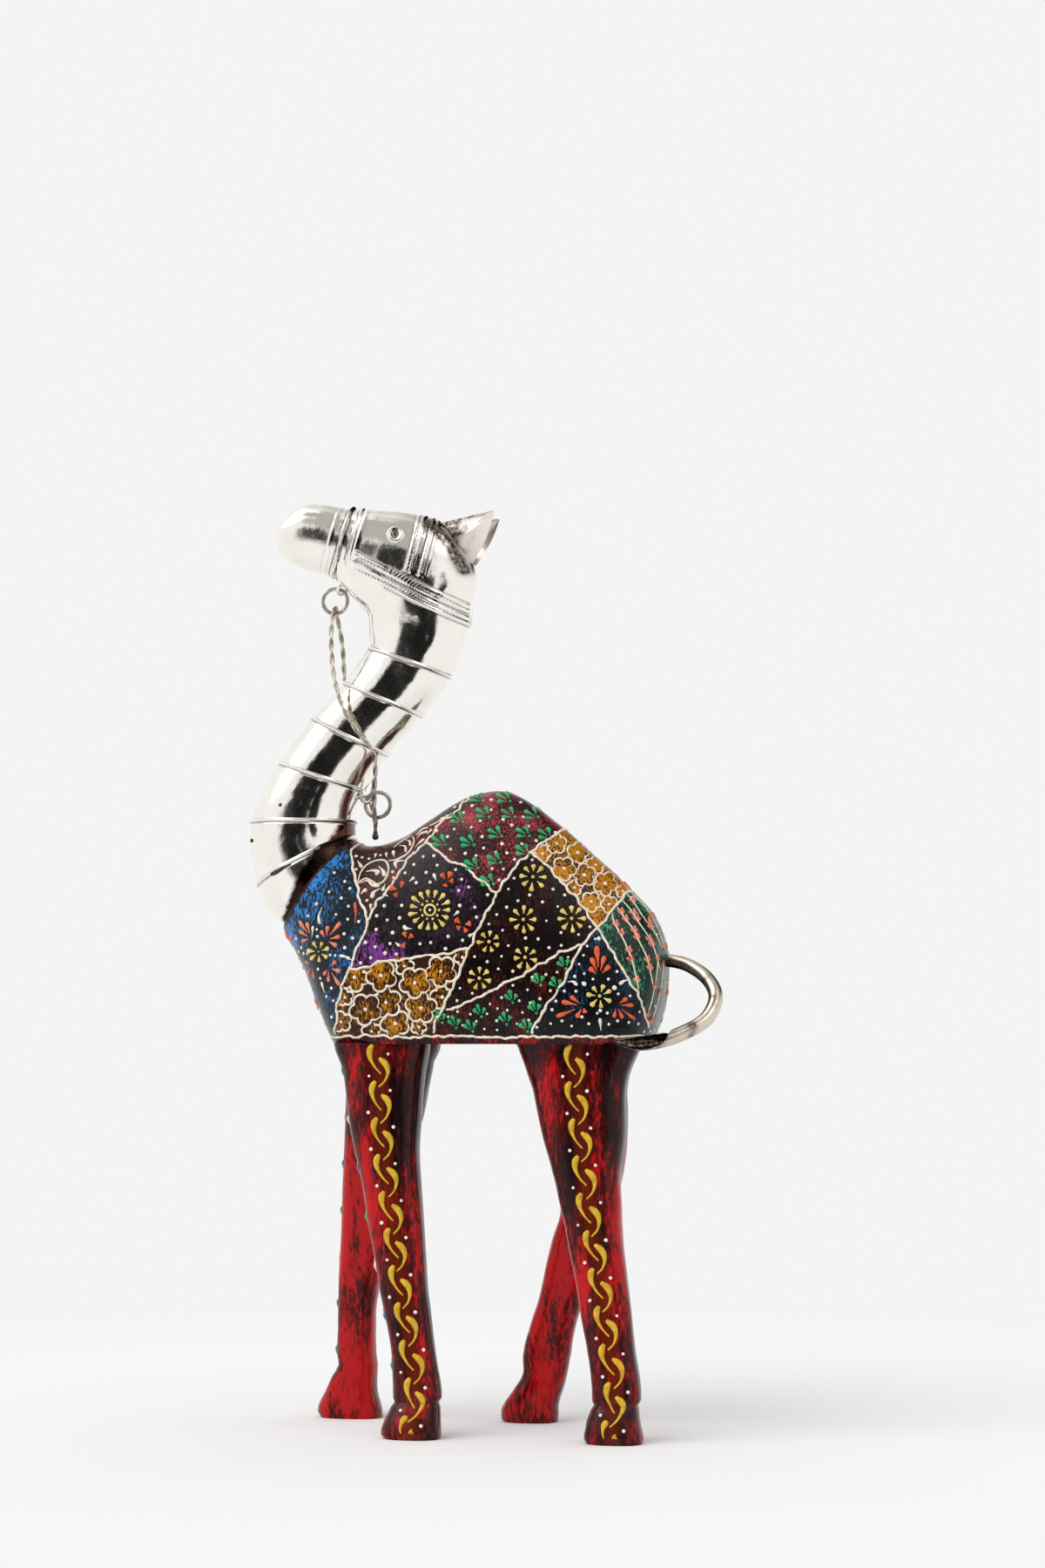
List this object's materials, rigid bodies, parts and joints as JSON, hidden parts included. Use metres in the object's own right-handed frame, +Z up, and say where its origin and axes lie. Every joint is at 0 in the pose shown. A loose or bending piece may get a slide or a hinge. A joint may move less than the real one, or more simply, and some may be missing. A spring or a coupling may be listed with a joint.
{
  "type": "camel figurine",
  "caption": "Standing camel figurine: carved painted wood body and legs, neck and head clad in beaded white-metal sheet, with wire rings, a wire rein and a rolled sheet tail.",
  "frame": {"origin": "middle of the part's outline as seen from above, in the plane of the four soles", "axes": "+Z up; the camel looks along -X; +Y is towards its right side"},
  "size_m": [0.1611, 0.0691, 0.3053],
  "materials": {
    "painted_wood": "dark antiqued patchwork paint with raised relief lines under a semi-gloss lacquer",
    "red_wood": "red paint over dark, antiqued, under a semi-gloss lacquer",
    "bare_wood": "bare light hardwood, hidden inside",
    "white_metal": "polished white-metal sheet, hand-worked, with brown patina in the creases",
    "wire": "drawn white-metal wire, slightly aged"
  },
  "bodies": {
    "camel": {"body_block": "painted_wood", "front_left_leg": "red_wood", "front_right_leg": "red_wood", "rear_left_leg": "red_wood", "rear_right_leg": "red_wood", "front_left_leg_dowel": "bare_wood", "front_right_leg_dowel": "bare_wood", "rear_left_leg_dowel": "bare_wood", "rear_right_leg_dowel": "bare_wood", "neck_core": "bare_wood", "neck_dowel": "bare_wood", "muzzle_sheet": "white_metal", "face_sheet": "white_metal", "neck_sheet_1": "white_metal", "neck_sheet_2": "white_metal", "neck_sheet_3": "white_metal", "neck_sheet_4": "white_metal", "neck_sheet_5": "white_metal", "neck_sheet_6": "white_metal", "left_ear": "white_metal", "right_ear": "white_metal", "left_eye": "white_metal", "right_eye": "white_metal", "tail": "white_metal", "chin_eyelet": "wire", "neck_eyelet": "wire"},
    "chin_ring": {"chin_ring": "wire"},
    "rein": {"rein": "wire", "rein_drop": "wire"},
    "neck_ring": {"neck_ring": "wire"}
  },
  "joints": [
    {"name": "chin_ring_swing", "type": "hinge", "parent": "camel", "child": "chin_ring", "pos_m": [-0.0492, 0, 0.2758], "axis": [0, 1, 0], "range_deg": [-6, 12]},
    {"name": "rein_swing", "type": "hinge", "parent": "chin_ring", "child": "rein", "pos_m": [-0.0515, 0, 0.2679], "axis": [0, 1, 0], "range_deg": [-16, 8]},
    {"name": "neck_ring_swing", "type": "hinge", "parent": "camel", "child": "neck_ring", "pos_m": [-0.0405, 0, 0.2056], "axis": [0, 1, 0], "range_deg": [-19, 10]}
  ],
  "couplings": [
    {"joint": "rein_swing", "follows": "chin_ring_swing", "ratio": -1.24},
    {"joint": "neck_ring_swing", "follows": "chin_ring_swing", "ratio": -1.5}
  ]
}
